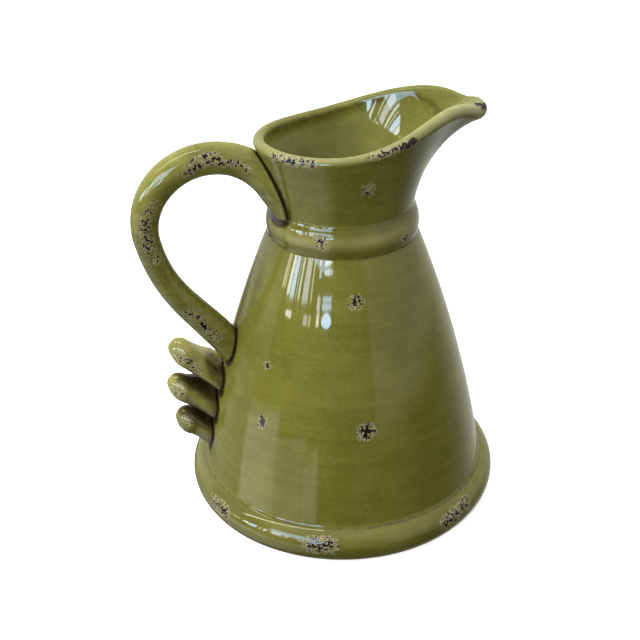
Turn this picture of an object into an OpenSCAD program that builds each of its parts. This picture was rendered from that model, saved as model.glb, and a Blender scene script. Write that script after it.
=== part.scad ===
// Glazed ceramic pitcher: a flared wall on a moulded foot, a collar, a necked mouth pulled
// into a pouring spout, and a round handle whose tail lies in three coils on the wall.
// Frame: +Z up, origin at the middle of the standing plane, spout towards +X, handle towards -X.

/* [Foot] */
// Outer diameter of the foot moulding
foot_d = 190; // [175:1:210]
// Height of the ledge on top of the foot moulding
foot_h = 18; // [15:0.5:21]
// Radius of the foot moulding's round section
foot_bead_r = 11.5; // [10:0.5:13]
// Turn of the moulding, from its top, at which the wall meets it
foot_shoulder = 17; // [10:1:24]
// Flat ledge left showing between the wall and the moulding
ledge_w = 0.5; // [0.2:0.1:1.5]

/* [Base] */
// Thickness of the base slab
slab_t = 9; // [7:0.5:12]
// Thickness of the slab's lap that rests on the foot's inner step
slab_lap_t = 5; // [3:0.5:6]
// Width of that lap
slab_lap_w = 6; // [4:0.5:10]
// Land of the foot left between the slab and the wall
foot_land = 2.5; // [1.5:0.5:5]

/* [Wall] */
// Height of the wall, from the ledge to the collar
wall_h = 150; // [130:1:170]
// Thickness of the wall
wall_t = 7.5; // [6.5:0.5:9]
// How far the wall bows out from a straight cone
wall_bow = 4.2; // [2:0.1:7]

/* [Collar] */
// Height of the collar
collar_h = 15; // [12:0.5:18]
// Thickness of the collar where it stands on the wall
collar_t = 2.6; // [2.2:0.1:3.6]
// Thickness of the collar at its top edge
collar_top_t = 0.9; // [0.7:0.1:1.4]
// How far the collar's rounded face swells out
collar_bow = 1.4; // [0.8:0.1:2]

/* [Neck and spout] */
// Outer diameter of the neck at the collar
neck_d = 80; // [72:1:88]
// Thickness of the neck
neck_t = 6; // [4.5:0.5:7]
// Height of the rim at the handle, above the wall
neck_h = 54.5; // [49:0.5:60]
// How far the sides of the mouth are drawn in by the spout's pull
rim_draw = 6.5; // [5:0.5:8]
// Flare of the rim at the handle
rim_back_pull = 14; // [11:0.5:16]
// How far the front of the rim leans out towards the spout
rim_front_pull = 13.5; // [11:0.5:16]
// Reach of the spout past the front of the rim
spout_reach = 31; // [27:0.5:35]
// Spread of the spout, seen from above
spout_spread = 21; // [19:0.5:23]
// Rise of the rim towards the spout
spout_rise = 17.5; // [15:0.5:19]
// Drop of the pouring lip at its tip
spout_drop = 9; // [7:0.5:11]
// Thickness of the rounded lip
lip_t = 6.5; // [6:0.5:8]
// Thickness of the pouring lip at its tip
tip_t = 9.5; // [8:0.5:11]

/* [Handle] */
// Diameter of the handle
handle_d = 18; // [16:0.5:19]
// Its diameter at the slack between the bow and the wall
handle_waist_d = 14.5; // [12:0.5:17]
// Its diameter where it is pressed on the neck
handle_end_d = 19; // [17:0.5:20]
// Radius of the handle's bow, along its middle
bow_r = 38.5; // [36:0.5:42]
// Distance of the bow's centre from the neck's outside
bow_out = 32.5; // [30:0.5:36]
// Depth of the bow's centre below the rim at the handle
bow_down = 46; // [44:0.5:49]
// Turn above the level at which the handle runs from its bow into the neck
bow_enter = 33; // [32:1:45]
// Turn below the level at which the handle leaves its bow for the wall
bow_leave = 12; // [6:1:20]
// Slope at which it meets the wall, from the level
handle_foot_slope = 55; // [50:1:60]
// Widening of the handle where it is pressed on the neck
handle_spread = 2.3; // [1.8:0.1:2.5]

/* [Coiled tail] */
// Thickness of a coil at the wall
coil_d = 14; // [12:0.5:15]
// Thickness of a coil at its tip
coil_tip_d = 17.5; // [15:0.5:18.5]
// Width of a coil at its tip
coil_tip_w = 17; // [15:0.5:19]
// Width of a coil at the wall, where its two limbs spread
coil_root_w = 39; // [35:0.5:40]
// Depth of the hollow between the limbs at the wall
coil_hollow = 2.5; // [1:0.1:3.5]
// Gap between one coil and the next
coil_gap = 1.2; // [0.8:0.1:2]
// Height of the middle of the lowest coil above the ledge
coil_lift = 21; // [19:0.5:24]
// Gap on the wall between the first coil and the handle
handle_gap = 5.6; // [4:0.2:9]
// Reach of each coil from the wall, first to last
coil_reach = [35.5, 30.5, 21.5]; // [20:0.5:40]
// Tilt of the first coil, upwards from the level
coil_tilt = 39; // [36:1:43]
// Turn from the tilt of one coil to that of the next
coil_fan = 11; // [8:0.5:12]
// Roll of the coils, which lifts the far limb
coil_roll = 33; // [28:1:36]
// Offset of the coils from the handle's plane
coil_shift = 8; // [6:0.5:10]

/* [Fit] */
// Luting joint between two pieces that don't rest on each other
joint = 0.3; // [0.2:0.05:0.5]

/* [Hidden] */

glaze = "#7d8138";
glaze_edge = "#8f9446";
glaze_dark = "#666b2c";
bare_clay = "#cfc6a4";

// Foot: the moulding's round section, and the ledge that the wall stands on
foot_r = foot_d / 2;
bead_x = foot_r - foot_bead_r;
bead_z = foot_h - foot_bead_r * cos(foot_shoulder);
ledge_r = bead_x + foot_bead_r * sin(foot_shoulder);

// Neck and collar
neck_r = neck_d / 2;
collar_bore_r = neck_r + joint;
wall_top_z = foot_h + wall_h;
collar_top_z = wall_top_z + collar_h;
collar_foot = [collar_bore_r + collar_t, wall_top_z];
collar_edge = [collar_bore_r + collar_top_t, collar_top_z];
collar_arc_r = arc_radius(collar_foot, collar_edge, collar_bow);
collar_arc = arc_centre(collar_foot, collar_edge, collar_bow);

// Wall: one arc from the ledge to the collar
wall_base_r = ledge_r - ledge_w;
wall_foot = [wall_base_r, foot_h];
wall_arc_r = arc_radius(wall_foot, collar_foot, wall_bow);
wall_arc = arc_centre(wall_foot, collar_foot, wall_bow);
wall_slant = atan((wall_base_r - collar_foot.x) / wall_h);

// Slab: its lap fills the foot inside the wall's landing
slab_r = wall_base_r - wall_t / cos(wall_slant) - foot_land;
slab_plug_r = slab_r - slab_lap_w;
slab_step_z = slab_t - slab_lap_t;

// Mouth
rim_back_z = wall_top_z + neck_h;
rim_side_r = neck_r - rim_draw;

// Curves are split finely enough to pass for round
fine = 96;
arc_fine = 1800;
mouth_steps = 96;
flare_steps = 13;
lip_steps = 6;
rope_sides = 20;
rope_steps = 30;
coil_steps = 18;

// Arc that rises from one point to another and bows out between them
function arc_radius(low, high, bow) = (pow(norm(high - low), 2) / 4 + bow * bow) / (2 * bow);
function arc_centre(low, high, bow) = let (along = (high - low) / norm(high - low))
    (low + high) / 2 - (arc_radius(low, high, bow) - bow) * [along.y, -along.x];
function arc_at(centre, r, z) = centre.x + sqrt(r * r - pow(z - centre.y, 2));

// Outer radius of the wall and of the collar at a height
function wall_at(z) = arc_at(wall_arc, wall_arc_r, z);
function collar_at(z) = arc_at(collar_arc, collar_arc_r, z);

function mix(a, b, t) = a + (b - a) * t;
function reversed(list) = [for (k = [len(list) - 1 : -1 : 0]) list[k]];
function smooth(t) = let (s = min(1, max(0, t))) s * s * (3 - 2 * s);

// A hump that is 1 towards the spout and half as high at the given angle from it
function away(a, round) = norm([sin(a / 2), round]) - round;
function hump(a, half, sharp, round) = 1 / (1 + pow(away(a, round) / away(half, round), sharp));
function front(a) = (1 + cos(a)) / 2;

// Plan and height of the rim's outer edge, by the angle from the spout
spout_sharp = 1.6;
spout_round = 0.045;
tip_spread = 13.5;
tip_sharp = 4;
rim_swoop = 3;
front_sharp = 1.25;
back_sharp = 3;
function spout(a) = hump(a, spout_spread, spout_sharp, spout_round);
function rim_r(a) = rim_side_r + rim_front_pull * pow(front(a), front_sharp) + spout_reach * spout(a)
                    + rim_back_pull * pow(1 - front(a), back_sharp);
function rim_z(a) = rim_back_z - lip_t / 2 + spout_rise * pow(front(a), rim_swoop)
                    - spout_drop * hump(a, tip_spread, tip_sharp, 0);

// Flare of the neck: how far it turns out, and how much of it is a plain cone
turn_side = 50;
turn_spout = 80;
cone_side = 0.5;
cone_spout = 0.28;
function turn(a) = mix(turn_side, turn_spout, spout(a));
function flare(a, t) = mix((1 - cos(t)) / (1 - cos(turn(a))), sin(t) / sin(turn(a)),
                           mix(cone_side, cone_spout, spout(a)));
function neck_turn(a, z) =
    asin(min(1, max(0, (z - collar_top_z) / (rim_z(a) - collar_top_z))) * sin(turn(a)));
function neck_at(a, z) = neck_r + (rim_r(a) - neck_r) * flare(a, neck_turn(a, z));

// A point of the neck's outer face, its normal and its thickness, by angle and share of the turn
function neck_point(a, q) = let (t = q * turn(a), r = neck_r + (rim_r(a) - neck_r) * flare(a, t))
    [r * cos(a), r * sin(a),
     collar_top_z + (rim_z(a) - collar_top_z) * sin(t) / sin(turn(a))];
small_angle = 0.5;
small_share = 0.01;
function unit(v) = v / norm(v);
function neck_up(a, q) = unit(neck_point(a, q + small_share) - neck_point(a, q - small_share));
function neck_normal(a, q) =
    unit(cross(neck_point(a + small_angle, q) - neck_point(a - small_angle, q), neck_up(a, q)));
function lip_at(a) = mix(lip_t, tip_t, spout(a));
lip_swell = 4;
function thick_at(a, q) = mix(neck_t, lip_at(a), pow(q, lip_swell));

// Rings of the neck: up the outside, over the lip and down the inside
function ring_angle(i) = 360 * i / mouth_steps;
function outside_ring(q) = [for (i = [0 : mouth_steps - 1]) neck_point(ring_angle(i), q)];
function inside_ring(q) = [for (i = [0 : mouth_steps - 1])
    neck_point(ring_angle(i), q) - thick_at(ring_angle(i), q) * neck_normal(ring_angle(i), q)];
function lip_ring(turned) = [for (i = [0 : mouth_steps - 1]) let (a = ring_angle(i))
    neck_point(a, 1)
    + lip_at(a) / 2 * ((cos(turned) - 1) * neck_normal(a, 1) + sin(turned) * neck_up(a, 1))];
function flat_ring(r, z) = [for (i = [0 : mouth_steps - 1])
    [r * cos(ring_angle(i)), r * sin(ring_angle(i)), z]];

// Triangles of a tube made of rings of points, with or without its two ends closed
function tube_faces(rings, sides, closed_loop) = [
    for (k = [0 : rings - (closed_loop ? 1 : 2)], i = [0 : sides - 1])
        let (a = k * sides + i, b = k * sides + (i + 1) % sides,
             up = ((k + 1) % rings) * sides,
             c = up + (i + 1) % sides, d = up + i)
        for (face = [[a, c, b], [a, d, c]]) face];

// A rope runs along path(t), for t from 0 to 1. It starts inside the vessel and is clear of it at
// one share of its length. It ends inside the vessel too, unless it closes to a point. Each of its
// threads is cut where it leaves the vessel and where it comes back.
cap_shares = [1 / 3, 2 / 3];
function squared(v, power) = sign(v) * pow(abs(v), power);
function path_dir(path, t) = unit(path(t + small_share) - path(t - small_share));
function thread(path, section, side, share, a) = function(t)
    path(t) + share * section(t, a) * [cross(side, path_dir(path, t)), side];
function meet(line, t_in, t_out, tries) = let (t = (t_in + t_out) / 2)
    tries == 0 ? t
    : off_vessel(line(t)) < 0 ? meet(line, t, t_out, tries - 1)
    : meet(line, t_in, t, tries - 1);

module rope(path, section, side, steps, clear, pointed) {
    tries = 22;
    function leaves(line) = meet(line, 0, clear, tries);
    function returns(line) = pointed ? 1 : meet(line, 1, clear, tries);
    function pace(t) = pointed ? sin(90 * t) : t;
    function threads(share) = [for (j = [0 : rope_sides - 1])
        thread(path, section, side, share, 360 * j / rope_sides)];
    skin = threads(1);
    from = [for (line = skin) leaves(line)];
    to = [for (line = skin) returns(line)];
    start_cap = [for (share = cap_shares) each [for (line = threads(share)) line(leaves(line))]];
    body = [for (k = [0 : pointed ? steps - 1 : steps], j = [0 : rope_sides - 1])
        skin[j](mix(from[j], to[j], pace(k / steps)))];
    end_cap = pointed ? []
        : [for (share = reversed(cap_shares)) each [for (line = threads(share)) line(returns(line))]];
    rings = concat(start_cap, body, end_cap);
    count = len(rings);
    last = count - rope_sides;
    start_faces = [for (j = [0 : rope_sides - 1]) [count, j, (j + 1) % rope_sides]];
    end_faces = [for (j = [0 : rope_sides - 1]) [count + 1, last + (j + 1) % rope_sides, last + j]];
    polyhedron(concat(rings, [path(leaves(path)), path(returns(path))]),
               concat(tube_faces(count / rope_sides, rope_sides, false), start_faces, end_faces));
}

// How far a point lies outside the vessel, less the luting joint
function vessel_at(a, z) = z < wall_top_z ? wall_at(z)
                           : z < collar_top_z ? collar_at(z)
                           : z < collar_top_z + joint ? collar_edge.x
                           : neck_at(a, z);
function off_vessel(p) = norm([p.x, p.y]) - vessel_at(atan2(p.y, p.x), p.z) - joint;

// Half the height that a rope of some thickness and slope takes up on the wall
function half_on_wall(d, slope) = d / 2 * cos(wall_slant) / cos(slope - wall_slant);

// A coil: its two limbs spread from a round tip to the wall, with a hollow between them
function tilt(n) = coil_tilt - n * coil_fan;
function coil_out(n) = [-cos(tilt(n)), 0, sin(tilt(n))];
function coil_across(n) = [-sin(coil_roll) * sin(tilt(n)), cos(coil_roll), sin(coil_roll) * cos(tilt(n))];
function coil_up(n) = cross(coil_across(n), coil_out(n));
coils = len(coil_reach);
wall_down = [-sin(wall_slant), 0, -cos(wall_slant)];
coil_pitch = (coil_d + coil_gap) / abs(wall_down * coil_up(coils - 1)) * cos(wall_slant);
coil_top_z = foot_h + coil_lift + (coils - 1) * coil_pitch;
coil_sunk = 16;
coil_clear = 0.72;
coil_blunt = 0.75;
coil_ease = 1.4;
function coil_dist(n, t) = mix(-coil_sunk, coil_reach[n], t);
function coil_path(n, t) = let (z = coil_top_z - n * coil_pitch)
    [-wall_at(z), coil_shift, z] + coil_out(n) * coil_dist(n, t);
function coil_section(n, t, a) = let (
    tip = coil_tip_w / 2,
    from_tip = coil_reach[n] - coil_dist(n, t),
    closed = sqrt(max(0, 1 - pow(max(0, 1 - from_tip / tip), 2))),
    spread = pow(min(1, max(0, (from_tip - tip) / (coil_reach[n] - tip))), coil_ease),
    across = squared(sin(a), coil_blunt),
    hollow = coil_hollow * spread * pow(1 - across * across, 2))
    closed * [squared(cos(a), coil_blunt) * (mix(coil_tip_d, coil_d, spread) / 2 - hollow),
              across * mix(coil_tip_w, coil_root_w, spread) / 2];

// Middle line of the handle, from inside the neck over the bow and down into the wall
bow_x = neck_r + bow_out;
bow_z = rim_back_z - bow_down;
function bow(b) = [-(bow_x - bow_r * cos(b)), 0, bow_z + bow_r * sin(b)];
enter = bow(bow_enter);
enter_dir = [sin(bow_enter), 0, -cos(bow_enter)];
leave = bow(180 + bow_leave);
leave_dir = [sin(bow_leave), 0, -cos(bow_leave)];
handle_foot_z = coil_top_z + half_on_wall(coil_d, coil_tilt) + handle_gap
                + half_on_wall(handle_d, handle_foot_slope);
land = [-wall_at(handle_foot_z), 0, handle_foot_z];
land_dir = [cos(handle_foot_slope), 0, -sin(handle_foot_slope)];
run_slack = 0.42;
run_pull = run_slack * norm(land - leave);
sunk = 24;
function bezier(p, t) = p[0] * pow(1 - t, 3) + p[1] * 3 * t * pow(1 - t, 2)
                        + p[2] * 3 * t * t * (1 - t) + p[3] * pow(t, 3);
run = [leave, leave + leave_dir * run_pull, land - land_dir * run_pull, land];

// Shares of the handle's length at which it joins its bow, leaves it and lands on the wall
at_enter = 0.1;
at_leave = 0.6;
at_land = 0.9;
function handle_path(t) =
    t < at_enter ? enter + enter_dir * sunk * (1 - t / at_enter)
    : t < at_leave ? bow(mix(bow_enter, 180 + bow_leave, (t - at_enter) / (at_leave - at_enter)))
    : t < at_land ? bezier(run, (t - at_leave) / (at_land - at_leave))
    : land + land_dir * sunk * (t - at_land) / (1 - at_land);
at_waist = 0.64;
waist_span = 0.25;
at_round = 0.25;
handle_blunt = 0.7;
handle_clear = 0.5;
function handle_r(t) = (mix(handle_waist_d, handle_d, smooth(abs(t - at_waist) / waist_span))
                        + mix(handle_end_d - handle_d, 0, smooth(t / at_round))) / 2;
function handle_width(t) = mix(handle_spread, 1, smooth(t / at_round));
function handle_section(t, a) = let (power = mix(handle_blunt, 1, smooth(t / at_round)))
    handle_r(t) * [squared(cos(a), power), handle_width(t) * squared(sin(a), power)];

module coil(n) {
    rope(function(t) coil_path(n, t), function(t, a) coil_section(n, t, a), coil_across(n),
         coil_steps, coil_clear, true);
}

module base_slab() {
    color(bare_clay) {
        cylinder(r = slab_plug_r, h = slab_t, $fn = fine);
        translate([0, 0, slab_step_z]) cylinder(r = slab_r, h = slab_lap_t, $fn = fine);
    }
}

module foot_band() {
    color(glaze_edge) rotate_extrude($fn = fine) difference() {
        intersection() {
            union() {
                translate([bead_x, bead_z]) circle(r = foot_bead_r, $fn = fine);
                square([bead_x, foot_h]);
            }
            square([foot_d, foot_h]);
        }
        square([slab_plug_r + joint, foot_h]);
        translate([0, slab_step_z]) square([slab_r + joint, foot_h]);
    }
}

module body_wall() {
    color(glaze) rotate_extrude($fn = fine) intersection() {
        difference() {
            translate(wall_arc) circle(r = wall_arc_r, $fn = arc_fine);
            translate(wall_arc) circle(r = wall_arc_r - wall_t, $fn = arc_fine);
        }
        translate([0, foot_h]) square([foot_r, wall_h]);
    }
}

module collar_band() {
    color(glaze_edge) rotate_extrude($fn = fine) intersection() {
        translate([collar_bore_r, wall_top_z]) square([collar_t + collar_bow, collar_h]);
        translate(collar_arc) circle(r = collar_arc_r, $fn = fine);
    }
}

module neck_spout() {
    shares = [for (k = [0 : flare_steps]) k / flare_steps];
    outside = [for (q = shares) outside_ring(q)];
    lip = [for (k = [1 : lip_steps - 1]) lip_ring(180 * k / lip_steps)];
    inside = [for (k = [flare_steps : -1 : 0]) inside_ring(k / flare_steps)];
    rings = concat([flat_ring(neck_r, wall_top_z)], outside, lip, inside,
                   [flat_ring(neck_r - neck_t, wall_top_z)]);
    points = [for (ring = rings) each ring];
    color(glaze) polyhedron(points, tube_faces(len(rings), mouth_steps, true));
}

module handle() {
    color(glaze_edge) rope(function(t) handle_path(t), function(t, a) handle_section(t, a),
                           [0, 1, 0], rope_steps, handle_clear, false);
}

module coil_upper() {
    color(glaze_dark) coil(0);
}

module coil_middle() {
    color(glaze_dark) coil(1);
}

module coil_lower() {
    color(glaze_dark) coil(2);
}

base_slab();
foot_band();
body_wall();
collar_band();
neck_spout();
handle();
coil_upper();
coil_middle();
coil_lower();
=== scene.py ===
"""Looks of the glazed pitcher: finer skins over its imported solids, glaze materials, light and camera."""
from functools import partial

import bpy
import numpy as np
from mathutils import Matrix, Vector
from mathutils.kdtree import KDTree


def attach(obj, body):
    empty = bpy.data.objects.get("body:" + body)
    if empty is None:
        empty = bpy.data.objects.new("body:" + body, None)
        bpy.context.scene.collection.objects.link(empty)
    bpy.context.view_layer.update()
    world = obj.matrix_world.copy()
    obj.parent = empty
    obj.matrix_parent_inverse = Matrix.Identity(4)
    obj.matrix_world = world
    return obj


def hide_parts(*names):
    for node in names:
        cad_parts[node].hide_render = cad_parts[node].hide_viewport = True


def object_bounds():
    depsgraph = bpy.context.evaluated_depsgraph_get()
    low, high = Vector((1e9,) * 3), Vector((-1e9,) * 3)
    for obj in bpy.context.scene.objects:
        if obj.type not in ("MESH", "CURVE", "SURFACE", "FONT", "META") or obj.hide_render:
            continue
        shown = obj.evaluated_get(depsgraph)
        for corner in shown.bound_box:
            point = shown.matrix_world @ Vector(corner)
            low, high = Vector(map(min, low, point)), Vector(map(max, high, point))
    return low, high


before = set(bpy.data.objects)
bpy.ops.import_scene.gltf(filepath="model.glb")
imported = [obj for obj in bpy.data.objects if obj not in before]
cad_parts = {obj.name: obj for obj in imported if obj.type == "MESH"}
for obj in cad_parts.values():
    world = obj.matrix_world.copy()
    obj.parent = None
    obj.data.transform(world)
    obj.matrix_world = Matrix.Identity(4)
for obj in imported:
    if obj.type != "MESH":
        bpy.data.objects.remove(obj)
cad_low, cad_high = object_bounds()

# Sizes of the solids, in mm and degrees
foot_r = 95.0
foot_h = 18.0
foot_bead_r = 11.5
foot_shoulder = 17.0
ledge_w = 0.5
slab_t = 9.0
slab_lap_t = 5.0
slab_lap_w = 6.0
foot_land = 2.5
wall_h = 150.0
wall_t = 7.5
wall_bow = 4.2
collar_h = 15.0
collar_t = 2.6
collar_top_t = 0.9
collar_bow = 1.4
neck_r = 40.0
neck_t = 6.0
neck_h = 54.5
rim_draw = 6.5
rim_back_pull = 14.0
rim_front_pull = 13.5
spout_reach = 31.0
spout_spread = 21.0
spout_rise = 17.5
spout_drop = 9.0
lip_t = 6.5
tip_t = 9.5
handle_d = 18.0
handle_waist_d = 14.5
handle_end_d = 19.0
bow_r = 38.5
bow_out = 32.5
bow_down = 46.0
bow_enter = 33.0
bow_leave = 12.0
handle_foot_slope = 55.0
handle_spread = 2.3
coil_d = 14.0
coil_tip_d = 17.5
coil_tip_w = 17.0
coil_root_w = 39.0
coil_hollow = 2.5
coil_gap = 1.2
coil_lift = 21.0
handle_gap = 5.6
coil_reach = (35.5, 30.5, 21.5)
coil_tilt = 39.0
coil_fan = 11.0
coil_roll = 33.0
coil_shift = 8.0
joint = 0.3

# Shape of the mouth and of the ropes, as in the solids
spout_sharp = 1.6
spout_round = 0.045
tip_spread = 13.5
tip_sharp = 4.0
rim_swoop = 3.0
front_sharp = 1.25
back_sharp = 3.0
turn_side = 50.0
turn_spout = 80.0
cone_side = 0.5
cone_spout = 0.28
lip_swell = 4.0
coil_sunk = 16.0
coil_clear = 0.72
coil_blunt = 0.75
coil_ease = 1.4
run_slack = 0.42
handle_sunk = 24.0
at_enter = 0.1
at_leave = 0.6
at_land = 0.9
at_waist = 0.64
waist_span = 0.25
at_round = 0.25
handle_blunt = 0.7
handle_clear = 0.5

# Fineness of the skins
around_steps = 288
fillet_steps = 8
lip_steps = 14
rope_sides = 60
handle_steps = 170
coil_steps = 60
edge_steps = 6
cap_steps = 4
bead_steps = 46
wall_out_steps = 110
wall_in_steps = 60
band_steps = 16
neck_out_steps = 46
neck_in_steps = 40
bore_steps = 8
longest_step = 3.0
meet_halvings = 40

# How the skins sit, in mm: rounding of the ropes' pressed ends, and how far edges sink into the next piece
handle_edge = 1.8
coil_edge = 1.6
rope_bite = 0.2
wall_sink = 0.06
collar_sink = 0.04


def sind(angle):
    return np.sin(np.radians(angle))


def cosd(angle):
    return np.cos(np.radians(angle))


def mix(low, high, share):
    return low + (high - low) * share


def smooth(share):
    s = np.clip(share, 0, 1)
    return s * s * (3 - 2 * s)


def squared(v, power):
    return np.sign(v) * np.abs(v) ** power


def unit(v):
    return v / np.linalg.norm(v, axis=-1, keepdims=True)


def vec(*parts):
    """An array of points from arrays of their coordinates."""
    return np.stack(np.broadcast_arrays(*parts), axis=-1).astype(float)


# Places that follow from the sizes
bead_x = foot_r - foot_bead_r
bead_z = foot_h - foot_bead_r * cosd(foot_shoulder)
wall_base_r = bead_x + foot_bead_r * sind(foot_shoulder) - ledge_w
wall_top_z = foot_h + wall_h
collar_top_z = wall_top_z + collar_h
collar_bore_r = neck_r + joint
collar_foot = np.array([collar_bore_r + collar_t, wall_top_z])
collar_edge = np.array([collar_bore_r + collar_top_t, collar_top_z])
wall_foot = np.array([wall_base_r, foot_h])
wall_slant = np.degrees(np.arctan((wall_base_r - collar_foot[0]) / wall_h))
slab_r = wall_base_r - wall_t / cosd(wall_slant) - foot_land
slab_plug_r = slab_r - slab_lap_w
slab_step_z = slab_t - slab_lap_t
rim_back_z = wall_top_z + neck_h
rim_side_r = neck_r - rim_draw


def arc(low, high, bow):
    """Centre and radius of the arc through two points of a profile, bowed out between them."""
    chord = np.linalg.norm(high - low)
    radius = (chord**2 / 4 + bow**2) / (2 * bow)
    along = (high - low) / chord
    return (low + high) / 2 - (radius - bow) * np.array([along[1], -along[0]]), radius


wall_centre, wall_radius = arc(wall_foot, collar_foot, wall_bow)
collar_centre, collar_radius = arc(collar_foot, collar_edge, collar_bow)


def wall_at(z, depth=0.0):
    return wall_centre[0] + np.sqrt(np.maximum((wall_radius - depth) ** 2 - (z - wall_centre[1]) ** 2, 0))


def collar_at(z):
    return collar_centre[0] + np.sqrt(np.maximum(collar_radius**2 - (z - collar_centre[1]) ** 2, 0))


# The neck and its spout
def hump(angle, half, sharp, rounding):
    """1 towards the spout, a half at the angle given and less beyond it."""

    def away(x):
        return np.hypot(sind(x / 2), rounding) - rounding

    return 1 / (1 + (away(angle) / away(half)) ** sharp)


def front(angle):
    return (1 + cosd(angle)) / 2


def spout(angle):
    return hump(angle, spout_spread, spout_sharp, spout_round)


def rim_r(angle):
    lean = rim_front_pull * front(angle) ** front_sharp
    return rim_side_r + lean + spout_reach * spout(angle) + rim_back_pull * (1 - front(angle)) ** back_sharp


def rim_z(angle):
    swoop = spout_rise * front(angle) ** rim_swoop
    return rim_back_z - lip_t / 2 + swoop - spout_drop * hump(angle, tip_spread, tip_sharp, 0)


def turn(angle):
    return mix(turn_side, turn_spout, spout(angle))


def flare(angle, turned):
    cone = sind(turned) / sind(turn(angle))
    bowl = (1 - cosd(turned)) / (1 - cosd(turn(angle)))
    return mix(bowl, cone, mix(cone_side, cone_spout, spout(angle)))


def neck_at(angle, z):
    share = np.clip((z - collar_top_z) / (rim_z(angle) - collar_top_z), 0, 1)
    turned = np.degrees(np.arcsin(share * sind(turn(angle))))
    return neck_r + (rim_r(angle) - neck_r) * flare(angle, turned)


def neck_point(angle, q):
    turned = q * turn(angle)
    r = neck_r + (rim_r(angle) - neck_r) * flare(angle, turned)
    z = collar_top_z + (rim_z(angle) - collar_top_z) * sind(turned) / sind(turn(angle))
    return vec(r * cosd(angle), r * sind(angle), z)


def neck_up(angle, q, small=0.01):
    return unit(neck_point(angle, q + small) - neck_point(angle, q - small))


def neck_normal(angle, q, small=0.5):
    across = neck_point(angle + small, q) - neck_point(angle - small, q)
    return unit(np.cross(across, neck_up(angle, q)))


def lip_at(angle):
    return mix(lip_t, tip_t, spout(angle))


# The ropes: handle and coils
def off_vessel(p):
    """How far points stand off the vessel's outside, level with them."""
    r = np.hypot(p[..., 0], p[..., 1])
    z = p[..., 2]
    angle = np.degrees(np.arctan2(p[..., 1], p[..., 0]))
    above = np.where(z < collar_top_z + joint, collar_edge[0], neck_at(angle, z))
    return r - np.where(z < wall_top_z, wall_at(z), np.where(z < collar_top_z, collar_at(z), above))


def half_on_wall(d, slope):
    return d / 2 * cosd(wall_slant) / cosd(slope - wall_slant)


def tilt(number):
    return coil_tilt - number * coil_fan


def coil_out(number):
    return np.array([-cosd(tilt(number)), 0, sind(tilt(number))])


def coil_across(number):
    leaning = sind(coil_roll) * np.array([-sind(tilt(number)), 0, cosd(tilt(number))])
    return leaning + np.array([0, cosd(coil_roll), 0])


coils = len(coil_reach)
lowest_up = np.cross(coil_across(coils - 1), coil_out(coils - 1))
wall_down = np.array([-sind(wall_slant), 0, -cosd(wall_slant)])
coil_pitch = (coil_d + coil_gap) / abs(wall_down @ lowest_up) * cosd(wall_slant)
coil_top_z = foot_h + coil_lift + (coils - 1) * coil_pitch


def coil_dist(number, t):
    return mix(-coil_sunk, coil_reach[number], t)


def coil_path(number, t):
    """The middle line of a coil, from inside the wall out to its tip."""
    z = coil_top_z - number * coil_pitch
    start = np.array([-wall_at(z), coil_shift, z])
    return start + coil_out(number) * coil_dist(number, np.asarray(t, float)[..., None])


def coil_section(number, t, angle):
    """Two limbs that spread from a round tip to the wall, with a hollow between them."""
    tip = coil_tip_w / 2
    from_tip = coil_reach[number] - coil_dist(number, t)
    closed = np.sqrt(np.maximum(0, 1 - np.maximum(0, 1 - from_tip / tip) ** 2))
    spread = np.clip((from_tip - tip) / (coil_reach[number] - tip), 0, 1) ** coil_ease
    across = squared(sind(angle), coil_blunt)
    hollow = coil_hollow * spread * (1 - across**2) ** 2
    lift = squared(cosd(angle), coil_blunt) * (mix(coil_tip_d, coil_d, spread) / 2 - hollow)
    return closed * lift, closed * across * mix(coil_tip_w, coil_root_w, spread) / 2


bow_x = neck_r + bow_out
bow_z = rim_back_z - bow_down


def bow(angle):
    return vec(-(bow_x - bow_r * cosd(angle)), 0, bow_z + bow_r * sind(angle))


enter = bow(bow_enter)
enter_dir = np.array([sind(bow_enter), 0, -cosd(bow_enter)])
leave = bow(180 + bow_leave)
leave_dir = np.array([sind(bow_leave), 0, -cosd(bow_leave)])
coil_half = half_on_wall(coil_d, coil_tilt)
handle_half = half_on_wall(handle_d, handle_foot_slope)
handle_foot_z = coil_top_z + coil_half + handle_gap + handle_half
land = np.array([-wall_at(handle_foot_z), 0, handle_foot_z])
land_dir = np.array([cosd(handle_foot_slope), 0, -sind(handle_foot_slope)])
run_pull = run_slack * np.linalg.norm(land - leave)
run = (leave, leave + leave_dir * run_pull, land - land_dir * run_pull, land)


def handle_path(t):
    """A stub in the neck, the bow, the run down to the wall and a stub in the wall."""
    t = np.asarray(t, float)[..., None]
    stub = enter + enter_dir * handle_sunk * (1 - t / at_enter)
    over = bow(mix(bow_enter, 180 + bow_leave, (t[..., 0] - at_enter) / (at_leave - at_enter)))
    u = (t - at_leave) / (at_land - at_leave)
    down = run[0] * (1 - u) ** 3 + 3 * run[1] * u * (1 - u) ** 2
    down = down + 3 * run[2] * u**2 * (1 - u) + run[3] * u**3
    end = land + land_dir * handle_sunk * (t - at_land) / (1 - at_land)
    low = np.where(t < at_leave, over, np.where(t < at_land, down, end))
    return np.where(t < at_enter, stub, low)


def handle_section(t, angle):
    """Round, slimmer at its waist, and widened and blunt where it is pressed on the neck."""
    pressed = 1 - smooth(t / at_round)
    d = mix(handle_waist_d, handle_d, smooth(np.abs(t - at_waist) / waist_span))
    r = (d + (handle_end_d - handle_d) * pressed) / 2
    power = mix(1.0, handle_blunt, pressed)
    wide = r * mix(1.0, handle_spread, pressed)
    return r * squared(cosd(angle), power), wide * squared(sind(angle), power)


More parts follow.
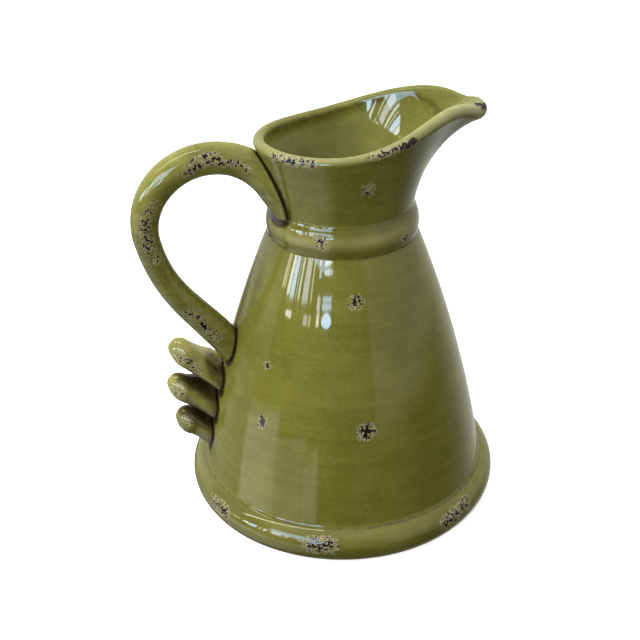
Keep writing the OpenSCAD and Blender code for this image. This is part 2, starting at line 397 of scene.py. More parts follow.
class Rope:
    """A rope of clay pressed on the vessel at both ends, or at its first end if the other is pointed."""

    def __init__(self, path, section, side, steps, clear, edge, pointed):
        self.path = path
        self.section = section
        self.side = np.asarray(side, float)
        self.steps = steps
        self.clear = clear
        self.edge = edge
        self.pointed = pointed
        self.angles = np.arange(rope_sides) * 360 / rope_sides

    def thread(self, t, angle, share=1.0, inset=0.0):
        """A point of the rope's skin, or nearer to its middle by a share or by an inset."""
        small = 0.0005
        along = unit(self.path(t + small) - self.path(t - small))
        lift, wide = self.section(t, angle)
        size = np.maximum(np.hypot(lift, wide), 1e-6)
        share = share * (1 - np.minimum(inset / size, 1))
        lift = (share * lift)[..., None] * np.cross(self.side, along)
        return self.path(t) + lift + (share * wide)[..., None] * self.side

    def meet(self, share, inset, off, sunk):
        """Where each thread comes to stand off the vessel by this much."""
        inside = np.full(rope_sides, float(sunk))
        outside = np.full(rope_sides, float(self.clear))
        for _ in range(meet_halvings):
            middle = (inside + outside) / 2
            within = off_vessel(self.thread(middle, self.angles, share, inset)) < off
            inside = np.where(within, middle, inside)
            outside = np.where(within, outside, middle)
        return outside

    def end(self, sunk):
        """Rings of a pressed end, from its middle out over its rounded edge."""
        places = [(share, self.edge, -rope_bite) for share in np.arange(1, cap_steps) / cap_steps]
        for turned in np.linspace(90, 0, edge_steps):
            places.append((1.0, self.edge * (1 - cosd(turned)), self.edge * (1 - sind(turned)) - rope_bite))
        rows = []
        for share, inset, off in places:
            t = self.meet(share, inset, off, sunk)
            rows.append((t, self.thread(t, self.angles, share, inset)))
        return rows

    def rings(self):
        """Rings from the middle of the first end to the middle or the tip of the other."""
        rows = self.end(0.0)
        back = [] if self.pointed else self.end(1.0)[::-1]
        first = rows[-1][0]
        last = np.ones(rope_sides) if self.pointed else back[0][0]
        for k in range(1, self.steps):
            pace = sind(90 * k / self.steps) if self.pointed else k / self.steps
            t = mix(first, last, pace)
            rows.append((t, self.thread(t, self.angles)))
        return np.array([points for _, points in rows + back])


# Slow waves of hand-thrown clay: lengths in mm, least and greatest slope, and the height where they set in
ripple_lengths = (13, 17, 22, 29, 38, 52)
ripple_slopes = (0.0015, 0.0035)
ripple_low_z = 1
ripple_rise = 6
ripple = np.random.default_rng(11)
ripple_terms = []
for wave_length in ripple_lengths:
    slope = ripple.uniform(*ripple_slopes)
    wave_height = slope * wave_length / 2 / np.pi
    turns_round = ripple.integers(-3, 4)
    ripple_terms.append((wave_height, wave_length, turns_round, ripple.uniform()))


def thrown(p):
    """Points of the vessel moved in and out by the waves."""
    turned = np.arctan2(p[..., 1], p[..., 0]) / 2 / np.pi
    wave = sum(
        height * np.sin(2 * np.pi * (p[..., 2] / length + turns * turned + start))
        for height, length, turns, start in ripple_terms
    )
    wave = wave * smooth((p[..., 2] - ripple_low_z) / ripple_rise)
    outward = unit(p * np.array([1, 1, 0]))
    return p + outward * wave[..., None]


metres_per_mm = 0.001


def within_box(p):
    """Points in metres, kept inside the box of the solids."""
    return np.clip(p * metres_per_mm, np.array(cad_low), np.array(cad_high))


def resampled(points, step=longest_step):
    """The same open line with its long steps divided."""
    out = [points[0]]
    for a, b in zip(points[:-1], points[1:]):
        count = max(1, int(np.ceil(np.linalg.norm(np.subtract(b, a)) / step)))
        out += [mix(np.asarray(a), np.asarray(b), k / count) for k in range(1, count + 1)]
    return out


def curve(a, pull, b, steps=fillet_steps):
    """A quadratic curve between two points, for the glaze in a crease."""
    t = np.linspace(0, 1, steps + 1)[:, None]
    return list(np.asarray(a) * (1 - t) ** 2 + 2 * np.asarray(pull) * t * (1 - t) + np.asarray(b) * t**2)


angles = np.arange(around_steps) * 360 / around_steps


def turned_rings(profile):
    """Rings of a profile of (radius, height) points turned about the axis."""
    return np.array([vec(r * cosd(angles), r * sind(angles), z) for r, z in profile])


def skin(name, rings, closed):
    """A mesh over rows of rings, closed into a loop or capped by fans at both ends."""
    rows, count = rings.shape[:2]
    points = [tuple(p) for p in within_box(rings).reshape(-1, 3)]
    faces = []
    for row in range(rows if closed else rows - 1):
        low = row * count
        high = (row + 1) % rows * count
        for k in range(count):
            faces.append((low + k, low + (k + 1) % count, high + (k + 1) % count, high + k))
    if not closed:
        for row, ends in ((0, 1), (rows - 1, -1)):
            middle = len(points)
            points.append(tuple(within_box(rings[row].mean(axis=0))))
            for k in range(count):
                pair = (row * count + k, row * count + (k + 1) % count)
                faces.append((middle, *pair[::-ends]))
    mesh = bpy.data.meshes.new(name)
    mesh.from_pydata(points, [], faces)
    mesh.update()
    mesh.polygons.foreach_set("use_smooth", [True] * len(mesh.polygons))
    piece = bpy.data.objects.new(name, mesh)
    bpy.context.scene.collection.objects.link(piece)
    return piece


def foot_rings():
    """The foot band, with its lower edges rounded."""
    round_r = 0.8
    bead_end = 126
    bead = [
        (bead_x + foot_bead_r * sind(a), bead_z + foot_bead_r * cosd(a))
        for a in np.linspace(foot_shoulder, bead_end, bead_steps)
    ]
    low_r = bead_x + np.sqrt(foot_bead_r**2 - bead_z**2)
    bottom = curve(bead[-1], (low_r - 0.1, 0.35), (low_r - 1.6, 0), 5)
    inner = [(slab_plug_r + round_r, 0), (slab_plug_r, round_r), (slab_plug_r, slab_step_z)]
    top = [(slab_r, slab_step_z), (slab_r, foot_h), bead[0]]
    line = resampled(bead + bottom[1:] + inner + top)
    return turned_rings(line[:-1])


def wall_rings():
    """The wall, with a fillet of glaze that runs out on the foot band."""
    reach = 2.0
    land_turn = foot_shoulder + 7.5
    on_wall = (wall_at(foot_h + reach), foot_h + reach)
    shoulder = foot_bead_r - wall_sink
    on_foot = (bead_x + shoulder * sind(land_turn), bead_z + shoulder * cosd(land_turn))
    corner_z = foot_h + 0.25
    skirt = curve(on_foot, (wall_at(corner_z), corner_z), on_wall)
    outside = [(wall_at(z), z) for z in np.linspace(foot_h + reach, wall_top_z, wall_out_steps)]
    inside = [(wall_at(z, wall_t), z) for z in np.linspace(wall_top_z, foot_h, wall_in_steps)]
    under = [(wall_base_r - 1, foot_h - 0.4), (on_foot[0] - 0.8, foot_h - 1.4)]
    return turned_rings(resampled(skirt + outside[1:] + inside + under))


def collar_rings():
    """The collar, with fillets of glaze that run out on the wall and on the neck."""
    reach = 1.3
    rise = 2.6
    crease_r = neck_r + 0.55
    low_wall = (wall_at(wall_top_z - reach) - collar_sink, wall_top_z - reach)
    low = curve(low_wall, collar_foot, (collar_at(wall_top_z + reach), wall_top_z + reach))
    band = [(collar_at(z), z) for z in np.linspace(wall_top_z + reach, collar_top_z - reach, band_steps)]
    rings = list(turned_rings(low + band[1:]))
    high_z = collar_top_z + rise
    for t in np.linspace(0, 1, fillet_steps + 1)[1:]:
        shares = ((1 - t) ** 2, 2 * t * (1 - t), t**2)
        z = shares @ np.array([collar_top_z - reach, collar_top_z + 0.2, high_z])
        r = shares[0] * band[-1][0] + shares[1] * crease_r
        r = r + shares[2] * (neck_at(angles, high_z) - collar_sink)
        rings.append(vec(r * cosd(angles), r * sind(angles), z))
    under = [(neck_r - 1, collar_top_z), (neck_r - 1, wall_top_z), (low_wall[0] - 2, wall_top_z - 1)]
    return np.array(rings + list(turned_rings(resampled(under))))


def neck_rings():
    """The neck and spout: up the outside, over the rounded lip and down the inside."""
    rings = list(turned_rings([(neck_r, wall_top_z), (neck_r, mix(wall_top_z, collar_top_z, 0.5))]))
    for q in np.linspace(0, 1, neck_out_steps):
        rings.append(neck_point(angles, np.full(around_steps, q)))
    one = np.ones(around_steps)
    rim = neck_point(angles, one)
    out = neck_normal(angles, one)
    up = neck_up(angles, one)
    half = lip_at(angles)[:, None] / 2
    for turned in np.linspace(0, 180, lip_steps + 1)[1:-1]:
        rings.append(rim + half * ((cosd(turned) - 1) * out + sind(turned) * up))
    for q in np.linspace(1, 0, neck_in_steps):
        share = np.full(around_steps, q)
        thick = mix(neck_t, lip_at(angles), q**lip_swell)[:, None]
        rings.append(neck_point(angles, share) - thick * neck_normal(angles, share))
    bore = [(neck_r - neck_t, z) for z in np.linspace(collar_top_z, wall_top_z, bore_steps)[1:]]
    return np.array(rings + list(turned_rings(bore)))


handle_rope = Rope(handle_path, handle_section, (0, 1, 0), handle_steps, handle_clear, handle_edge, False)
coil_ropes = []
for n in range(coils):
    section = partial(coil_section, n)
    coil_ropes.append(
        Rope(partial(coil_path, n), section, coil_across(n), coil_steps, coil_clear, coil_edge, True)
    )
vessel = {
    "foot_glazed": thrown(foot_rings()),
    "wall_glazed": thrown(wall_rings()),
    "collar_glazed": thrown(collar_rings()),
    "neck_glazed": thrown(neck_rings()),
}
ropes = {"handle_glazed": handle_rope}

# The coils, how thin the glaze is on their tips with a painted highlight that is strongest on the upper
# coil and faint on the lower, and how far from the tip it reaches, in mm
coil_tips = (("upper", 1.0, 31), ("middle", 0.8, 23), ("lower", 0.3, 20))
tip_thin_and_highlight = {}
for rope, (place, share, reach) in zip(coil_ropes, coil_tips):
    ropes[f"coil_{place}_glazed"] = rope
    tip_thin_and_highlight[f"coil_{place}_glazed"] = (share, reach)
rope_rings = {name: rope.rings() for name, rope in ropes.items()}

skins = {}
for name, rings in vessel.items():
    skins[name] = skin(name, rings, True)
for name, rings in rope_rings.items():
    skins[name] = skin(name, rings, False)


# Wear, pooled glaze with painted shade and thin glaze with painted highlights, as values of the skins'
# points
def vessel_point(angle, z):
    """A point on the outside of the foot, wall, collar or neck."""
    r = bead_x + np.sqrt(max(foot_bead_r**2 - (z - bead_z) ** 2, 0))
    if z >= foot_h:
        r = wall_at(z)
    if z >= wall_top_z:
        r = collar_at(z)
    if z >= collar_top_z:
        r = neck_at(angle, z)
    return vec(r * cosd(angle), r * sind(angle), z)


def lip_point(angle, turned):
    """A point of the rounded lip, turned from the outside over its crest."""
    up = sind(turned) * neck_up(angle, 1.0)
    return neck_point(angle, 1.0) + lip_at(angle) / 2 * ((cosd(turned) - 1) * neck_normal(angle, 1.0) + up)


def rope_point(rope, t, angle):
    return rope.thread(np.array(t), np.array(angle))


def mark(points, size, strength):
    """Worn marks along a line of points, or one round mark."""
    if len(points) == 1:
        return [(points[0], points[0], size, strength)]
    return [(a, b, size, strength) for a, b in zip(points[:-1], points[1:])]


def on_vessel(places, size, strength=1.0):
    return mark([vessel_point(*place) for place in places], size, strength)


def on_lip(places, size, strength=1.0):
    return mark([lip_point(*place) for place in places], size, strength)


def on_rope(rope, places, size, strength=1.0):
    return mark([rope_point(rope, *place) for place in places], size, strength)


# The marks that the photograph shows, with their size in mm and their strength. A place is an angle and a
# height on the vessel, an angle and a turn over the lip, or a share of a rope's length and an angle on it.
upper_coil, middle_coil, lower_coil = coil_ropes
solid = 2.4
marks = [
    *on_vessel([(-92.8, 75.6)], 6.2, 2.0),
    *on_vessel([(-140.8, 72.7)], 4.8, 2.2),
    *on_vessel([(-94.9, 146.1)], 5.6, 1.1),
    *on_vessel([(-143.3, 105.2)], 2.8, 2.2),
    *on_vessel([(-24.1, 138.2)], 2.8, 1.4),
    *on_vessel([(-84.2, 206.3)], 4.8, 1.4),
    *on_vessel([(-118.4, 176.9)], 5.6, 0.9),
    *on_vessel([(-50.0, 172.5)], 4.8, 1.4),
    *on_vessel([(-113.5, 11.0), (-107.5, 11.6)], 6.2, 1.5),
    *on_vessel([(-158.5, 11.0), (-150.5, 11.2)], 5.0, 1.4),
    *on_vessel([(-63.0, 10.5), (-50.5, 12.5)], 5.4, 1.3),
    *on_lip([(-153, 28), (-138, 31), (-124, 34)], 3.2, 1.5),
    *on_lip([(-82, 49), (-74, 46), (-63, 38)], 3.4, 1.2),
    *on_lip([(-63, 38), (-53.5, 34)], 2.6, solid),
    *on_lip([(-9, 142), (-5.5, 90)], 3.6, solid),
    *on_rope(handle_rope, [(0.352, 262), (0.338, 268), (0.314, 284), (0.282, 292), (0.264, 276)], 4.4),
    *on_rope(handle_rope, [(0.345, 262)], 2.4, solid),
    *on_rope(handle_rope, [(0.264, 276), (0.223, 280), (0.194, 272)], 3.0, 0.8),
    *on_rope(handle_rope, [(0.468, 264), (0.492, 270)], 3.4, 0.7),
    *on_rope(handle_rope, [(0.513, 270), (0.55, 274), (0.568, 264), (0.6, 270), (0.62, 256)], 4.4),
    *on_rope(handle_rope, [(0.521, 270)], 2.2, solid),
    *on_rope(handle_rope, [(0.767, 278), (0.793, 270)], 3.4, 0.8),
    *on_rope(handle_rope, [(0.793, 268)], 2.6, solid),
    *on_rope(handle_rope, [(0.793, 268), (0.822, 276), (0.861, 274)], 3.4, 0.9),
    *on_rope(upper_coil, [(0.965, 266), (0.87, 272), (0.752, 268), (0.68, 254)], 3.8, 0.6),
    *on_rope(middle_coil, [(0.985, 300), (0.958, 276), (0.915, 280), (0.83, 272)], 4.0, 0.6),
    *on_rope(lower_coil, [(0.95, 330), (0.914, 328), (0.863, 308)], 3.0, 0.5),
]

# Marks like them on the sides that the photograph hides
hidden_marks = np.random.default_rng(5)
for base in (-10, 28, 66, 104, 140, 164):
    angle = base + hidden_marks.uniform(-8, 8)
    marks += on_vessel([(angle, hidden_marks.uniform(35, 155))], hidden_marks.uniform(3, 6))
for base in (10, 70, 130):
    angle = base + hidden_marks.uniform(-10, 10)
    marks += on_vessel([(angle, 11.0), (angle + hidden_marks.uniform(4, 9), 11.6)], 5.0)
marks += on_vessel([(62.0, 175.5)], 5.0)
marks += on_vessel([(110.0, 204.0)], 4.2)
marks += on_lip([(60, 30), (74, 36), (86, 30)], 3.0)
marks += on_rope(handle_rope, [(0.3, 70), (0.36, 84), (0.42, 92)], 4.4)
marks += on_rope(handle_rope, [(0.62, 96), (0.7, 84)], 4.2)


def worn(points):
    """How worn each point is, from 0 up to a mark's strength at its heart."""
    most = np.zeros(len(points))
    for a, b, size, strength in marks:
        along = b - a
        length = max(along @ along, 1e-9)
        share = np.clip((points - a) @ along / length, 0, 1)
        gap = np.linalg.norm(points - a - share[:, None] * along, axis=1)
        most = np.maximum(most, strength * (1 - gap / size))
    return most


def tree_of(points):
    tree = KDTree(len(points))
    for k, p in enumerate(points):
        tree.insert(p, k)
    tree.balance()
    return tree


def gaps_to(tree, points):
    return np.array([tree.find(p)[2] for p in points])


def put(piece, name, values):
    """Writes one value to each point of a piece, with 1 for the middles of its caps."""
    full = np.ones(len(piece.data.vertices), np.float32)
    full[: len(values)] = values
    attribute = piece.data.attributes.new(name, "FLOAT", "POINT")
    attribute.data.foreach_set("value", full)


edge_row = cap_steps - 1
seams = []
for name, rope in ropes.items():
    seams.append(rope_rings[name][edge_row])
    if not rope.pointed:
        seams.append(rope_rings[name][-1 - edge_row])
seam_tree = tree_of(np.concatenate(seams))


def ridge(value, middle, half):
    """1 at the middle of a band and 0 outside it."""
    return smooth(1 - np.abs(value - middle) / half)


def dress(name, flat, pool_and_shade, thin_and_highlight):
    """Writes to the points of a skin how worn the glaze is, how pooled it is with painted shade, and how
    thin it is with painted highlights.
    """
    put(skins[name], "pool_and_shade", pool_and_shade)
    put(skins[name], "thin_and_highlight", thin_and_highlight)
    put(skins[name], "wear", worn(flat))


# Reach and fading of pooled glaze and painted shade at the ropes' seams and from rope to rope, and the
# foot's crease, in mm
seam_reach = 6.0
seam_fade = 3.0
crevice_reach = 13.5
crevice_fade = 10
foot_crease_r = 88.9
foot_crease_z = 15
for name, rings in vessel.items():
    flat = rings.reshape(-1, 3)
    z = flat[:, 2]
    r = np.hypot(flat[:, 0], flat[:, 1])
    # Pooled glaze and painted shade around the ropes' seams
    pool_and_shade = smooth((seam_reach - gaps_to(seam_tree, flat)) / seam_fade)
    thin_and_highlight = np.zeros(len(flat))
    # Pooled glaze and painted shade in the crease above the collar
    collar_crease = 0.2 * ridge(z, collar_top_z + 1.2, 2.0)
    if name == "foot_glazed":
        # Thin glaze with a faint painted highlight over the bead, and pooled glaze with painted shade in
        # the crease at the wall
        bead_turn = np.degrees(np.arctan2(r - bead_x, z - bead_z))
        thin_and_highlight = 0.05 * ridge(bead_turn, 52, 34)
        pool_and_shade = np.maximum(pool_and_shade, 0.3 * smooth((foot_crease_r - r) / 1.5) * (z > foot_crease_z))
    if name == "wall_glazed":
        # Pooled glaze with painted shade in the crease at its foot and under the collar, on the outside
        outer = r > wall_at(z) - 2
        pool_and_shade = np.maximum(pool_and_shade, 0.4 * ridge(z, foot_h, 1.8) * outer)
        pool_and_shade = np.maximum(pool_and_shade, 0.25 * smooth((z - wall_top_z + 4) / 4) * outer)
    if name == "collar_glazed":
        # Thin glaze with a painted highlight over its bow, and pooled glaze with painted shade along both
        # edges
        thin_and_highlight = 0.65 * ridge(z, wall_top_z + 8.5, 6)
        pool_and_shade = np.maximum(pool_and_shade, 0.35 * ridge(z, wall_top_z - 0.4, 1.8))
        pool_and_shade = np.maximum(pool_and_shade, collar_crease)
    if name == "neck_glazed":
        # Thin glaze with a painted reflection on the near lip, a painted reflection inside the mouth that
        # is strongest at the back, and painted shade with pooled glaze inside the far lip and above the
        # collar
        turned_to = np.degrees(np.arctan2(flat[:, 1], flat[:, 0]))
        near = smooth((10 - flat[:, 1]) / 30)
        crest = mix(0.5, 0.85, smooth((flat[:, 0] - 30) / 25))
        thin_and_highlight = mix(0.05, crest, near) * smooth((z - rim_z(turned_to) - 0.3) / 2.5)
        inner = smooth((neck_at(turned_to, z) - r - 3) / 3)
        below_lip = smooth((rim_z(turned_to) - 2 - z) / 4)
        thin_and_highlight = np.maximum(thin_and_highlight, mix(0.95, 0.1, front(turned_to)) * inner * below_lip)
        far_band = ridge(z, rim_z(turned_to) + 0.5, 4) * smooth(flat[:, 1] / 12)
        pool_and_shade = np.maximum(pool_and_shade, 0.42 * far_band * smooth((neck_at(turned_to, z) - r - 1.5) / 2))
        pool_and_shade = np.maximum(pool_and_shade, collar_crease)
    dress(name, flat, pool_and_shade, thin_and_highlight)
handle_tree = tree_of(rope_rings["handle_glazed"].reshape(-1, 3))
for name, rings in rope_rings.items():
    flat = rings.reshape(-1, 3)
    rope = ropes[name]
    others = [other_rings.reshape(-1, 3) for other, other_rings in rope_rings.items() if other != name]
    crevice = gaps_to(tree_of(np.concatenate(others)), flat)
    off = off_vessel(flat)
    # Pooled glaze and painted shade where the rope meets the vessel and in crevices between ropes, and thin
    # glaze with a painted highlight over its pressed edge
    pool_and_shade = smooth((1.3 - off) / 0.8)
    pool_and_shade = np.maximum(pool_and_shade, smooth((crevice_reach - crevice) / crevice_fade))
    thin_and_highlight = np.maximum(0.5 * ridge(off, 2.2, 1.2), 0.12)
    outward = np.tile(cosd(rope.angles), len(rings))
    if name == "handle_glazed":
        # Painted shade on the inside of its bow, and thin glaze with a painted highlight along its sides
        pool_and_shade = np.maximum(pool_and_shade, 0.45 * smooth((-outward - 0.55) / 0.4))
        thin_and_highlight = np.maximum(thin_and_highlight, 0.24 * ridge(outward, 0.25, 0.8))
    # Pooled glaze and painted shade on the upper coil near the handle's end
    if name == "coil_upper_glazed":
        pool_and_shade = np.maximum(pool_and_shade, smooth((18 - gaps_to(handle_tree, flat)) / 13) * smooth((19 - off) / 12))
    if rope.pointed:
        # Painted shade with pooled glaze towards the wall, and thin glaze with a painted highlight at the
        # tip
        pool_and_shade = np.maximum(pool_and_shade, 0.5 * smooth((11 - off) / 10))
        from_tip = np.linalg.norm(flat - rope.path(np.array(1.0)), axis=1)
        share, reach = tip_thin_and_highlight[name]
        thin_and_highlight = np.maximum(thin_and_highlight, share * smooth((reach - from_tip) / 14))
    dress(name, flat, pool_and_shade, thin_and_highlight)


# Materials
def add(tree, kind, inputs=None, **settings):
    """A shader node with its settings, and values or links on its inputs."""
    made = tree.nodes.new(kind)
    for key, value in settings.items():
        setattr(made, key, value)
    for key, value in (inputs or {}).items():
        if isinstance(value, bpy.types.NodeSocket):
            tree.links.new(value, made.inputs[key])
        else:
            made.inputs[key].default_value = value
    return made


def noise(tree, at, scale, detail, rough=0.55):
    inputs = {"Vector": at, "Scale": scale, "Detail": detail, "Roughness": rough}
    return add(tree, "ShaderNodeTexNoise", inputs).outputs["Fac"]


def calc(tree, operation, a, b):
    return add(tree, "ShaderNodeMath", {0: a, 1: b}, operation=operation).outputs[0]


def ramp(tree, value, low, high, to_low=0.0, to_high=1.0):
    inputs = {"Value": value, "From Min": low, "From Max": high, "To Min": to_low, "To Max": to_high}
    made = add(tree, "ShaderNodeMapRange", inputs, interpolation_type="SMOOTHSTEP")
    return made.outputs["Result"]


def centred(tree, value, gain):
    """A noise value taken about its middle and scaled."""
    return calc(tree, "MULTIPLY", calc(tree, "SUBTRACT", value, 0.5), gain)


def blend(tree, share, a, b):
    """A mix of two colours."""
    made = add(tree, "ShaderNodeMix", data_type="RGBA")
    for key, value in (("Factor", share), ("A", a), ("B", b)):
        socket = next(s for s in made.inputs if s.name == key and s.enabled)
        if isinstance(value, bpy.types.NodeSocket):
            tree.links.new(value, socket)
        else:
            socket.default_value = value
    return next(s for s in made.outputs if s.enabled)


def attribute(tree, name):
    return add(tree, "ShaderNodeAttribute", attribute_name=name).outputs["Fac"]


# Noise scales of the glaze and clay, in waves to the metre, and its limits for chips and black specks
cloud_scale = 40
grain_scale = 620
band_scale = (22, 22, 300)
pool_and_shade_scale = 260
wear_scale = 170
speck_scale = 640
clay_scale = 900
chip_limits = (0.545, 0.575)
black_limits = (0.615, 0.645)

# Roughness of glaze and of worn marks, depth of the bumps and the height where the glaze begins, in metres
glossy = 0.04
worn_matt = 0.6
slab_glossy = 0.06
slab_matt = 0.85
bump_depth = 0.0003
bare_heights = (0.0003, 0.0012)

# Near black and brown for pooled glaze and painted shade, then clay, bare clay and charred black for wear
# and the underside
dark_pool_and_shade = (0.026, 0.02, 0.009, 1)
brown = (0.08, 0.064, 0.012, 1)
clay = (0.46, 0.4, 0.22, 1)
raw_clay = (0.5, 0.42, 0.28, 1)
charred = (0.008, 0.007, 0.004, 1)


def new_material(name):
    made = bpy.data.materials.new(name)
    made.use_nodes = True
    tree = made.node_tree
    at = add(tree, "ShaderNodeTexCoord").outputs["Object"]
    return made, tree, tree.nodes["Principled BSDF"], at


def glaze_colour(tree, at, deep, plain):
    """Olive glaze, clouded, grained and faintly banded by the throwing rings."""
    level = add(tree, "ShaderNodeMapping", {"Vector": at, "Scale": band_scale}).outputs["Vector"]
    cloud = noise(tree, at, cloud_scale, 5, 0.6)
    grain = noise(tree, at, grain_scale, 3)
    bands = noise(tree, level, 1, 4)
    tone = calc(tree, "ADD", calc(tree, "MULTIPLY", cloud, 0.45), calc(tree, "MULTIPLY", bands, 0.25))
    tone = calc(tree, "ADD", tone, calc(tree, "MULTIPLY", grain, 0.3))
    return cloud, blend(tree, ramp(tree, tone, 0.36, 0.64), deep, plain)


def bared(tree, at):
    """1 on the unglazed underside and 0 above it."""
    height = add(tree, "ShaderNodeSeparateXYZ", {0: at}).outputs["Z"]
    return ramp(tree, height, *bare_heights, 1.0, 0.0)


def raise_by(tree, shader, height, strength, invert=False):
    """Lets a value raise the surface, or sink it if inverted."""
    inputs = {"Strength": strength, "Distance": bump_depth, "Height": height}
    bump = add(tree, "ShaderNodeBump", inputs, invert=invert)
    tree.links.new(bump.outputs["Normal"], shader.inputs["Normal"])


def glaze_material(name, deep, plain, pale):
    """Glossy olive glaze: pale where thin and where a highlight is painted, brown to near black where
    pooled and where shade is painted, and worn to speckled clay in marks.
    """
    made, tree, shader, at = new_material(name)
    cloud, colour = glaze_colour(tree, at, deep, plain)
    # Paler where the glaze is thin and where a highlight is painted
    thin_and_highlight = calc(tree, "MULTIPLY", attribute(tree, "thin_and_highlight"), ramp(tree, cloud, 0.25, 0.7, 0.45, 1.0))
    colour = blend(tree, thin_and_highlight, colour, pale)
    # Brown, then near black, where the glaze pools and where shade is painted
    pool_and_shade = calc(tree, "ADD", attribute(tree, "pool_and_shade"), centred(tree, cloud, 0.4))
    pool_and_shade = calc(tree, "ADD", pool_and_shade, centred(tree, noise(tree, at, pool_and_shade_scale, 3), 0.6))
    colour = blend(tree, ramp(tree, pool_and_shade, 0.1, 0.6), colour, brown)
    colour = blend(tree, ramp(tree, pool_and_shade, 0.6, 1.0), colour, dark_pool_and_shade)
    marked = attribute(tree, "wear")
    wear = calc(tree, "ADD", marked, centred(tree, noise(tree, at, wear_scale, 3), 0.9))
    specks = noise(tree, at, speck_scale, 2.4, 0.62)
    specks = calc(tree, "ADD", specks, calc(tree, "MULTIPLY", wear, 0.15))
    inside = ramp(tree, marked, 0.0, 0.2)
    chipped = calc(tree, "MULTIPLY", ramp(tree, specks, *chip_limits), inside)
    black = calc(tree, "MULTIPLY", ramp(tree, specks, *black_limits), inside)
    colour = blend(tree, chipped, colour, clay)
    colour = blend(tree, black, colour, charred)
    under = bared(tree, at)
    tree.links.new(blend(tree, under, colour, raw_clay), shader.inputs["Base Color"])
    matt = calc(tree, "MAXIMUM", calc(tree, "SUBTRACT", chipped, black), under)
    tree.links.new(ramp(tree, matt, 0.0, 1.0, glossy, worn_matt), shader.inputs["Roughness"])
    raise_by(tree, shader, chipped, 0.4, invert=True)
    return made


def slab_material(name, deep, plain):
    """Bare grainy clay below, and glaze on the floor of the vessel."""
    made, tree, shader, at = new_material(name)
    colour = glaze_colour(tree, at, deep, plain)[1]
    grain = noise(tree, at, clay_scale, 4)
    bare = blend(tree, ramp(tree, grain, 0.3, 0.7), raw_clay, clay)
    under = bared(tree, at)
    tree.links.new(blend(tree, under, colour, bare), shader.inputs["Base Color"])
    tree.links.new(ramp(tree, under, 0.0, 1.0, slab_glossy, slab_matt), shader.inputs["Roughness"])
    raise_by(tree, shader, grain, 0.3)
    return made


body_deep = (0.146, 0.144, 0.019, 1)
body_plain = (0.212, 0.205, 0.035, 1)
materials = {
    "glaze_body": glaze_material("glaze_body", body_deep, body_plain, (0.4, 0.37, 0.14, 1)),
    # The neck's glaze is a darker copy of the body's, as painted shade under the flaring rim
    "glaze_neck_shaded": glaze_material(
        "glaze_neck_shaded", (0.124, 0.13, 0.018, 1), (0.188, 0.192, 0.036, 1), (0.375, 0.37, 0.16, 1)
    ),
    "glaze_moulding": glaze_material(
        "glaze_moulding", (0.118, 0.117, 0.016, 1), (0.178, 0.173, 0.03, 1), (0.42, 0.385, 0.14, 1)
    ),
    "glaze_handle": glaze_material(
        "glaze_handle", (0.114, 0.115, 0.015, 1), (0.25, 0.245, 0.046, 1), (0.41, 0.38, 0.115, 1)
    ),
}

# The node that each skin replaces, its slot in the record and its look
nodes_of = {
    "foot_glazed": ("foot_band", "glaze_moulding", "glaze_moulding"),
    "wall_glazed": ("body_wall", "glaze_body", "glaze_body"),
    "collar_glazed": ("collar_band", "glaze_moulding", "glaze_moulding"),
    "neck_glazed": ("neck_spout", "glaze_body", "glaze_neck_shaded"),
    "handle_glazed": ("handle", "glaze_handle", "glaze_handle"),
    "coil_upper_glazed": ("coil_upper", "glaze_handle", "glaze_handle"),
    "coil_middle_glazed": ("coil_middle", "glaze_handle", "glaze_handle"),
    "coil_lower_glazed": ("coil_lower", "glaze_handle", "glaze_handle"),
}
for name, (node, slot, look_of) in nodes_of.items():
    piece = skins[name]
    piece.data.materials.append(materials[look_of])
    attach(piece, "root")
    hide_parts(node)
for slab_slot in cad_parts["base_slab"].material_slots:
    slab_slot.material = slab_material("bare_clay_slab", body_deep, body_plain)

# Camera at the photograph's viewing angle
camera_data = bpy.data.cameras.new("camera")
camera_data.lens = 60.5
camera_data.sensor_width = 36
camera_data.shift_x = -0.0352
camera = bpy.data.objects.new("camera", camera_data)
turned_view = 13.0
stand_off = 0.560
eye_height = 0.4264
pitch = 29.80
camera.location = (-stand_off * sind(turned_view), -stand_off * cosd(turned_view), eye_height)
look = Vector((sind(turned_view) * cosd(pitch), cosd(turned_view) * cosd(pitch), -sind(pitch)))
camera.rotation_euler = look.to_track_quat("-Z", "Y").to_euler()
bpy.context.scene.collection.objects.link(camera)
bpy.context.scene.camera = camera

# Window panes that the glaze mirrors, on a plane behind the camera, in shares of its distance
window_turn = -103.5
window_off = 2.0
window_level = 0.12
to_window = np.array([cosd(window_turn), sind(window_turn), 0])
along_window = np.array([cosd(window_turn - 90), sind(window_turn - 90), 0])


def lamp(name, place, aim, size, radiance, colour, shape="RECTANGLE"):
    """An area lamp of a given brightness, which the camera doesn't see."""
    data = bpy.data.lights.new(name, "AREA")
    data.shape = shape
    data.size, data.size_y = size
    data.energy = radiance * np.pi * size[0] * size[1]
    data.color = colour
    made = bpy.data.objects.new(name, data)
    made.location = place
    made.rotation_euler = (Vector(place) - Vector(aim)).to_track_quat("Z", "Y").to_euler()
    made.visible_camera = False
    bpy.context.scene.collection.objects.link(made)
    return made


def pane(name, left, right, low, high, radiance, colour, shape="RECTANGLE"):
    """A pane that is mirrored and lights nothing else."""
    middle = to_window + along_window * (left + right) / 2
    place = middle * window_off + np.array([0, 0, window_level + window_off * (low + high) / 2])
    size = (window_off * abs(right - left), window_off * (high - low))
    lamp(name, place, place - to_window, size, radiance, colour, shape).visible_diffuse = False


